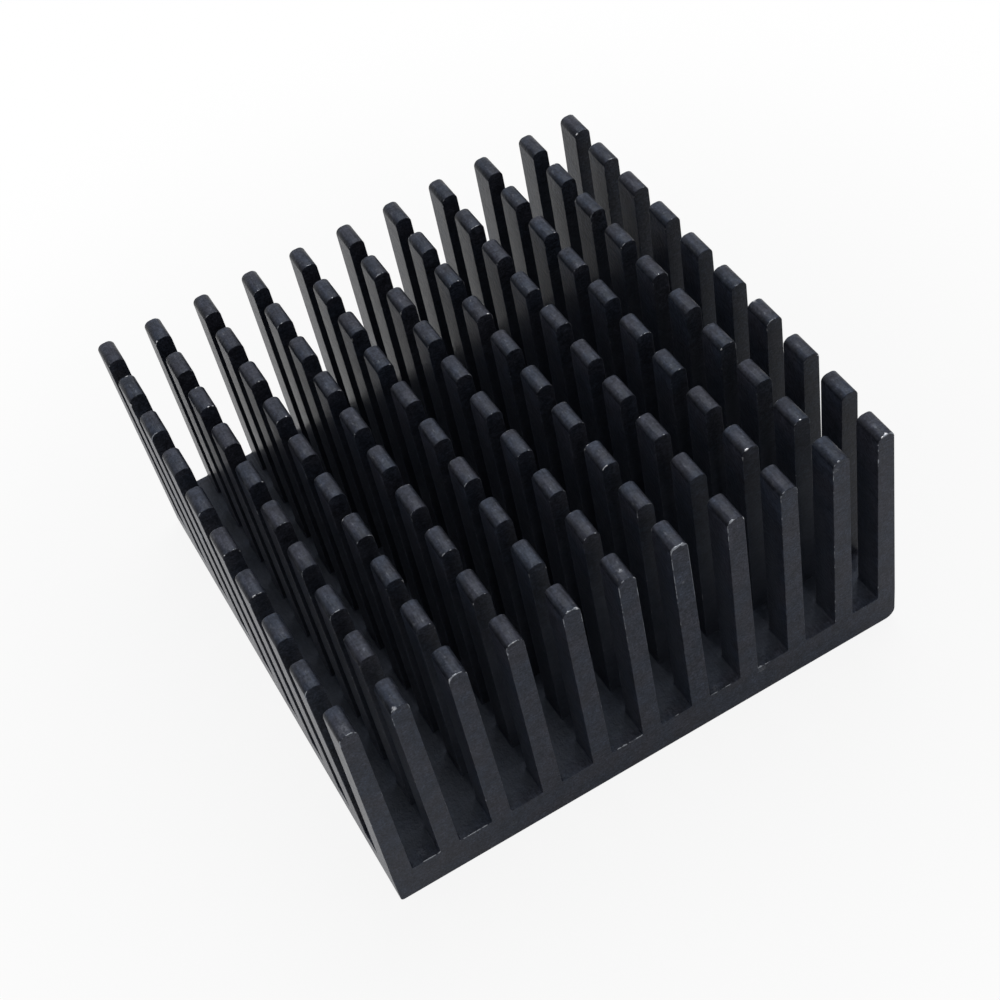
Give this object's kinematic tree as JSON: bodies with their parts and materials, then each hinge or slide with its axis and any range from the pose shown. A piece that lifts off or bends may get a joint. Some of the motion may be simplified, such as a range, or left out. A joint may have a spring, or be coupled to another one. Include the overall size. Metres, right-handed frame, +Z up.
{
  "type": "pin fin heat sink",
  "caption": "Square black anodised aluminium heat sink: a flat base plate carrying rows of upright rectangular pins with rounded crowns.",
  "frame": {"origin": "centre of the flat underside", "axes": "+Z up from the underside to the crowns of the pins; Y along the extruded fins, with the front sawn end at -Y; X across the fins"},
  "size_m": [0.04, 0.04, 0.02],
  "materials": {
    "anodised_aluminium": "satin black anodised, with bare metal nicks on the crowns"
  },
  "bodies": {
    "root": {"heat_sink": "anodised_aluminium"}
  },
  "joints": []
}
